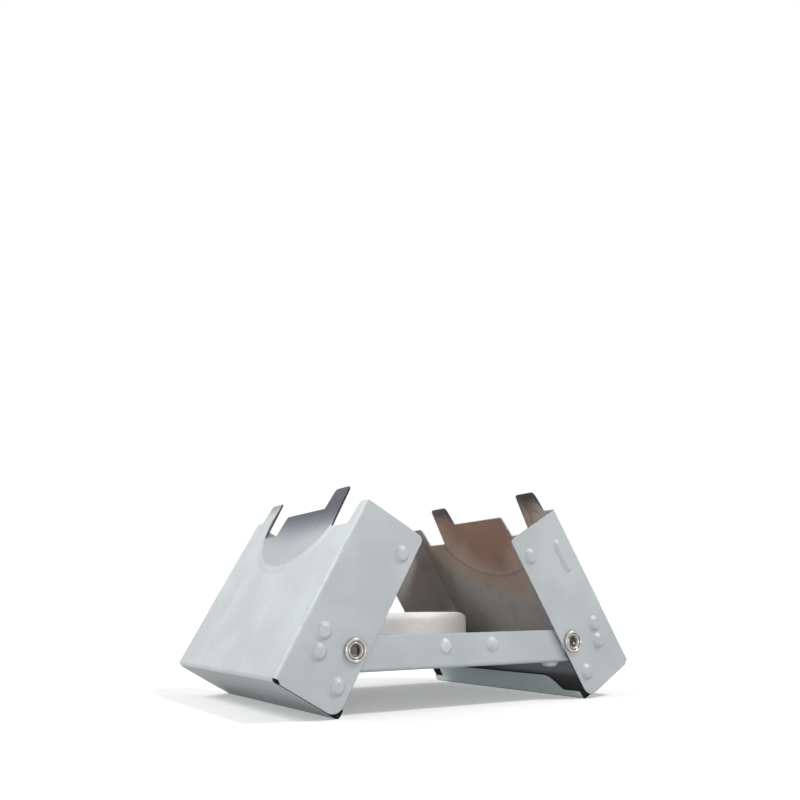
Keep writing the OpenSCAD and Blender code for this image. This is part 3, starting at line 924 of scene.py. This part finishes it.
# Heights, in metres, at which a colour starts and is full
LOW_LIP_Z = (0.0085, 0.0078)
OVAL_TOP_SHADE_Z = (0.0415, 0.0530)
TIPS_Z = (0.0525, 0.0575)
PRONG_Z = (0.0450, 0.0530)
INNER_SOOT_Z = (0.0500, 0.0562)
LOW_SHADE_Z = (0.017, 0.009)
GROUND_SHADE_Z = (0.0145, 0.0105)
PRONG_EDGE_SHADE_Z = (0.0490, 0.0540)
PRONG_SIDE_Z = (0.0445, 0.0470)

# Bands across the stove, in metres from its middle: where they start and end, and how softly
PRONG_BAND = (0.0120, 0.0245, 0.002)
PRONG_SIDE_BAND = (0.0222, 0.0246, 0.0002)

# Distance from the middle at which the lip's painted pale sheen starts and is full
LIP_FROM = (0.0378, 0.0374)

# Heat inside: its hottest place, in metres, and how far from it each tint starts and is full
HOTTEST = (0.030, 0, 0.050)
GREY_FROM = (0.050, 0.034)
BROWN_FROM = (0.030, 0.016)
DEEP_FROM = (0.018, 0.006)

# Round the middle of the seam: the painted blue reflection outside, and the painted shade at the foot of
# the oval inside
BLUE_FROM = (0.016, 0.003)
OVAL_FOOT = (0.0186, 0.0206, 0.0009)

# Round a rivet's axis: painted shade, partly dirt, in the groove and in the bore
GROOVE_BAND = (0.00190, 0.00226, 0.00014)
BORE_FROM = (0.00150, 0.00110)


def zinc_parts(nodes):
    """Colour, roughness and fine height of clean galvanised sheet."""
    cloud = nodes.noise(70, 4)
    grain = nodes.noise(900, 5, 0.6)
    streak = nodes.noise(420, 4, 0.6, (0.16, 1, 0.5))
    color = nodes.mix(nodes.ramp(cloud, 0.35, 0.65), ZINC, ZINC_PALE)
    color = nodes.mix(nodes.ramp(streak, 0.5, 0.75, 0, 0.3), color, ZINC_DULL)
    fine = nodes.ramp(grain, 0.4, 0.7, 0, 0.06)
    roughness = nodes.math("ADD", nodes.ramp(cloud, 0.3, 0.7, 0.48, 0.56), fine)
    height = nodes.math("ADD", grain, nodes.times(streak, 0.5))
    return color, roughness, height


def paint_underside_shade_and_lip_sheen(nodes, color, across):
    """Painted shade: darker zinc where the sheet looks down at rest. Painted pale sheen on the lip close
    to the ground.
    """
    downward = nodes.downward()
    # Painted pale sheen, a painted reflection, on the lip near the ground where it looks partly down
    low = nodes.ramp(nodes.height(), *LOW_LIP_Z)
    lip = nodes.times(nodes.band(downward, 0.3, 0.7, 0.12), low)
    lip = nodes.times(lip, nodes.ramp(across, *LIP_FROM))
    color = nodes.mix(lip, color, ZINC_LIP_SHEEN)
    # Painted shade: darker, greener zinc where the sheet looks down at rest
    return nodes.mix(nodes.ramp(downward, 0.55, 0.85, 0, 0.55), color, ZINC_UNDER_SHADE)


def paint_reflection_shade_soot(nodes, color, both, across):
    """Painted dark and blue reflection on the oval, painted shade partly heat and soot on its top and the
    prongs.

    Gives the oval and the mask of soot and painted shade as well.
    """
    to_seam = nodes.distance(SEAM_MIDDLE, (1, OVAL_TOP[0] / OVAL_TOP[1], 1), both)
    oval = nodes.ramp(to_seam, OVAL_TOP[0] * MM, (OVAL_TOP[0] - 1.2) * MM)
    # Painted dark reflection over the oval
    color = nodes.mix(nodes.times(oval, 0.65), color, OVAL_REFLECTION_GREY)
    # Painted blue reflection towards the seam
    color = nodes.mix(nodes.ramp(to_seam, *BLUE_FROM, 0, 0.55), color, BLUE_REFLECTION)
    # Painted shade, partly heat tint, over the top of the oval
    heat_and_shade = nodes.times(oval, nodes.ramp(nodes.height(), *OVAL_TOP_SHADE_Z, 0, 0.97))
    color = nodes.mix(heat_and_shade, color, HEAT_AND_SHADE_DARK)
    # Painted shade, partly soot, on the prong tips
    tips = nodes.ramp(nodes.height(), *TIPS_Z, 0, 0.6)
    color = nodes.mix(tips, color, THIN_SOOT)
    # Painted shade, partly soot, on the inner prongs
    prong = nodes.band(across, *PRONG_BAND)
    prong = nodes.times(prong, nodes.ramp(nodes.height(), *PRONG_Z, 0, 0.85))
    color = nodes.mix(prong, color, PRONG_SHADE_AND_SOOT)
    soot_and_shade = nodes.math("MAXIMUM", nodes.math("MAXIMUM", heat_and_shade, tips), prong)
    return color, oval, soot_and_shade


def zinc_outside():
    """Outer faces: clean, painted shade on undersides, a smooth oval darkened by painted reflection,
    painted shade partly soot on the prongs, and worn folds under a painted highlight.
    """
    nodes = Nodes("galvanised_steel")
    color, roughness, height = zinc_parts(nodes)
    both = nodes.both_sides()
    across = nodes.part(both, "Y")
    color = paint_underside_shade_and_lip_sheen(nodes, color, across)
    color, oval, soot_and_shade = paint_reflection_shade_soot(nodes, color, both, across)
    nodes.set(nodes.shader.inputs["Metallic"], nodes.ramp(soot_and_shade, 0, 1, ZINC_METAL, SOOT_METAL))
    roughness = nodes.math("ADD", roughness, nodes.times(soot_and_shade, 0.3))
    roughness = nodes.math("SUBTRACT", roughness, nodes.times(oval, 0.06))
    # Painted highlight along the side folds, partly worn zinc, broken by duller cracks
    fold = nodes.band(across, FOLD_Y * MM, (HALF_W - 0.01) * MM, 0.0003)
    color = nodes.mix(nodes.times(fold, 0.8), color, ZINC_WORN_HIGHLIGHT)
    cracks = nodes.ramp(nodes.noise(380, 4, 0.6), 0.45, 0.70, 0, 0.6)
    color = nodes.mix(nodes.times(fold, cracks), color, ZINC_DULL)
    roughness = nodes.math("ADD", roughness, nodes.times(fold, 0.1))
    nodes.bump(height, GRAIN, 0.5)
    return nodes.finish(color, roughness)


def zinc_inside():
    """Inner faces: brown heat tint, grey film lower down, soot near the top, and painted shade at the
    foot of the oval and in the low corners.
    """
    nodes = Nodes("heated_steel")
    color, roughness, height = zinc_parts(nodes)
    both = nodes.both_sides()
    away = nodes.distance(HOTTEST, (1, 0.75, 1), both)
    wander = nodes.math("ADD", away, nodes.ramp(nodes.noise(45, 3), 0.3, 0.7, -0.004, 0.004))
    color = nodes.mix(nodes.ramp(wander, *GREY_FROM, 0, 0.8), color, TINT_GREY)
    color = nodes.mix(nodes.ramp(wander, *BROWN_FROM, 0, 0.85), color, TINT_BROWN)
    color = nodes.mix(nodes.ramp(wander, *DEEP_FROM, 0, 0.8), color, TINT_DEEP)
    color = nodes.mix(nodes.ramp(nodes.noise(150, 5, 0.6), 0.45, 0.75, 0, 0.25), color, THIN_SOOT)
    to_seam = nodes.distance(SEAM_MIDDLE, (1, OVAL[0] / OVAL[1], 1), both)
    # Painted shade at the foot of the oval
    foot = nodes.times(nodes.band(to_seam, *OVAL_FOOT), 0.4)
    color = nodes.mix(foot, color, OVAL_FOOT_SHADE)
    soot = nodes.math("ADD", nodes.height(), nodes.ramp(nodes.noise(240, 3), 0.3, 0.7, -0.001, 0.001))
    color = nodes.mix(nodes.ramp(soot, *INNER_SOOT_Z, 0, 0.95), color, SOOT)
    # Painted shade in the low corners under the tray
    low = nodes.ramp(nodes.height(), *LOW_SHADE_Z, 0, 0.9)
    color = nodes.mix(low, color, LOW_CORNER_SHADE)
    roughness = nodes.math("ADD", roughness, nodes.times(low, 0.2))
    nodes.bump(height, GRAIN, 0.5)
    return nodes.finish(color, roughness, Metallic=ZINC_METAL)


def tray_inside():
    """Inside of the tray: dull, with burnt residue over the floor."""
    nodes = Nodes("tray_floor_steel")
    color, roughness, height = zinc_parts(nodes)
    spots = nodes.ramp(nodes.noise(130, 6, 0.62), 0.42, 0.68, 0, 0.7)
    color = nodes.mix(spots, color, RESIDUE)
    nodes.bump(height, GRAIN, 0.5)
    return nodes.finish(color, roughness, Metallic=ZINC_METAL)


def cut_steel():
    """Sheared edges: bare steel with fine burr lines, painted shade near the ground, and painted shade
    partly soot at the prongs.
    """
    nodes = Nodes("cut_steel")
    burr = nodes.noise(1500, 3, 0.6, (1, 1, 0.2))
    color = nodes.mix(nodes.ramp(burr, 0.4, 0.65), CUT_DARK, CUT_PALE)
    # Painted shade on the cut edges near the ground, and painted shade partly soot near the prong tips
    for heights in (GROUND_SHADE_Z, PRONG_EDGE_SHADE_Z):
        color = nodes.mix(nodes.ramp(nodes.height(), *heights, 0, 0.92), color, CUT_SHADE_AND_SOOT)
    # Painted shade along the inner sides of the prongs
    prong_side = nodes.band(nodes.part(nodes.both_sides(), "Y"), *PRONG_SIDE_BAND)
    prong_side = nodes.times(prong_side, nodes.ramp(nodes.height(), *PRONG_SIDE_Z, 0, 0.9))
    color = nodes.mix(prong_side, color, CUT_SHADE_AND_SOOT)
    nodes.bump(burr, 0.00003, 0.6)
    return nodes.finish(color, nodes.ramp(burr, 0.3, 0.7, 0.42, 0.6), Metallic=0.8)


def rivet_nickel():
    """Nickel plate, with painted shade, partly dirt, in the bore and in the groove round the tube's
    rolled end.
    """
    nodes = Nodes("nickel_plate")
    wear = nodes.noise(700, 4, 0.6)
    color = nodes.mix(nodes.ramp(wear, 0.45, 0.7), NICKEL, NICKEL_WORN)
    round_axis = nodes.distance((PIVOT_X * MM, 0, PIVOT_Z * MM), (1, 0, 1), nodes.both_sides())
    # Painted shade, partly dirt, in the groove and the bore
    groove = nodes.band(round_axis, *GROOVE_BAND)
    color = nodes.mix(nodes.times(groove, 0.8), color, GROOVE_SHADE_AND_DIRT)
    color = nodes.mix(nodes.ramp(round_axis, *BORE_FROM, 0, 0.85), color, BORE_SHADE_AND_DIRT)
    nodes.bump(wear, GRAIN, 0.5)
    return nodes.finish(color, nodes.ramp(wear, 0.35, 0.7, 0.24, 0.38), Metallic=0.7)


def fuel():
    """Pressed fuel: waxy off-white powder with fine pits."""
    nodes = Nodes("pressed_fuel")
    cloud = nodes.noise(260, 4)
    pits = nodes.noise(2600, 5, 0.7)
    color = nodes.mix(nodes.ramp(cloud, 0.35, 0.65), FUEL, FUEL_PALE)
    roughness = nodes.ramp(pits, 0.3, 0.7, 0.5, 0.7)
    nodes.bump(nodes.math("ADD", pits, nodes.times(cloud, 1.5)), 0.00004, 0.5)
    return nodes.finish(color, roughness, Subsurface_Weight=0.15, Subsurface_Scale=0.002, IOR=1.45)


# Stage: floor, background, lamps and camera


def add_stage():
    """Pale floor that keeps the shadow near the stove and runs out into the white background."""
    nodes = Nodes("pale_floor")
    path = nodes.tree.nodes.new("ShaderNodeLightPath")
    seen = nodes.math("MAXIMUM", path.outputs["Is Camera Ray"], path.outputs["Is Glossy Ray"])
    seen = nodes.math("MAXIMUM", seen, path.outputs["Is Transmission Ray"])
    away = nodes.distance((0, 0, 0), (1, 1, 1))
    glow = nodes.ramp(away, FLOOR_PLAIN_R, FLOOR_WHITE_R, FLOOR_GLOW, 1.0)
    nodes.set(nodes.shader.inputs["Emission Strength"], nodes.times(seen, glow))
    nodes.shader.inputs["Emission Color"].default_value = (1, 1, 1, 1)
    material = nodes.finish(FLOOR_COLOR, 0.9, Specular_IOR_Level=0.0)
    mesh = bpy.data.meshes.new("floor")
    corners = [(-1, -1), (1, -1), (1, 1), (-1, 1)]
    mesh.from_pydata([(x * FLOOR_SIZE, y * FLOOR_SIZE, 0) for x, y in corners], [], [(0, 1, 2, 3)])
    mesh.materials.append(material)
    floor = bpy.data.objects.new("floor", mesh)
    bpy.context.scene.collection.objects.link(floor)


def add_world():
    """White where the camera and the metal look, and a plain soft light otherwise."""
    world = bpy.data.worlds.new("studio")
    bpy.context.scene.world = world
    world.use_nodes = True
    tree = world.node_tree
    background = tree.nodes["Background"]
    background.inputs["Color"].default_value = (1, 1, 1, 1)
    path = tree.nodes.new("ShaderNodeLightPath")
    seen = path.outputs["Is Camera Ray"]
    for name in ("Is Glossy Ray", "Is Transmission Ray"):
        both = tree.nodes.new("ShaderNodeMath")
        both.operation = "MAXIMUM"
        tree.links.new(seen, both.inputs[0])
        tree.links.new(path.outputs[name], both.inputs[1])
        seen = both.outputs[0]
    level = tree.nodes.new("ShaderNodeMapRange")
    level.inputs["To Min"].default_value = SOFT_LIGHT
    level.inputs["To Max"].default_value = 1.0
    tree.links.new(seen, level.inputs["Value"])
    tree.links.new(level.outputs["Result"], background.inputs["Strength"])


def add_lamp(name, at, size, watts):
    """Round lamp that points at the stove."""
    lamp = bpy.data.lights.new(name, "AREA")
    lamp.shape = "DISK"
    lamp.size = size
    lamp.energy = watts
    obj = bpy.data.objects.new(name, lamp)
    obj.location = at
    obj.rotation_euler = (Vector(LAMP_TARGET) - Vector(at)).to_track_quat("-Z", "Y").to_euler()
    bpy.context.scene.collection.objects.link(obj)


def add_camera():
    """Camera where the photograph was taken from."""
    data = bpy.data.cameras.new("camera")
    data.sensor_width = SENSOR
    data.lens = FOCAL_PX * SENSOR / FRAME_PX
    data.clip_start = CLIP_START
    camera = bpy.data.objects.new("camera", data)
    turn = Matrix.Rotation(radians(-CAMERA_YAW), 4, "Z")
    turn = turn @ Matrix.Rotation(radians(90 + CAMERA_PITCH), 4, "X")
    turn = turn @ Matrix.Rotation(radians(CAMERA_ROLL), 4, "Z")
    camera.matrix_world = Matrix.Translation(Vector(CAMERA_AT) * MM) @ turn
    bpy.context.scene.collection.objects.link(camera)
    bpy.context.scene.camera = camera


scene = bpy.context.scene
scene.view_settings.view_transform = "Standard"
add_camera()
add_stage()
add_world()
for name, (at, size, watts) in LAMPS.items():
    add_lamp(name, at, size, watts)

outside, heated, cut = zinc_outside(), zinc_inside(), cut_steel()
wing_verts, wing_tris = wing_blank()
for wing, side in (("left_wing", -1), ("right_wing", 1)):
    piece = build_wing(wing + "_sheet", side, wing_verts, wing_tris, [outside, heated, cut])
    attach(piece, wing)
    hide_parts(wing)

tray = build_tray("tray_sheet", [outside, tray_inside(), cut])
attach(tray, "tray")
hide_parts("tray")

nickel = rivet_nickel()
for side, side_x in (("left", -1), ("right", 1)):
    for end, side_y in (("front", -1), ("rear", 1)):
        node = f"{side}_{end}_rivet"
        piece = build_eyelet(f"{side}_{end}_eyelet", side_x, side_y, nickel)
        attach(piece, "tray")
        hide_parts(node)

tablet = build_tablet("fuel_block", fuel())
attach(tablet, "fuel_tablet")
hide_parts("fuel_tablet")
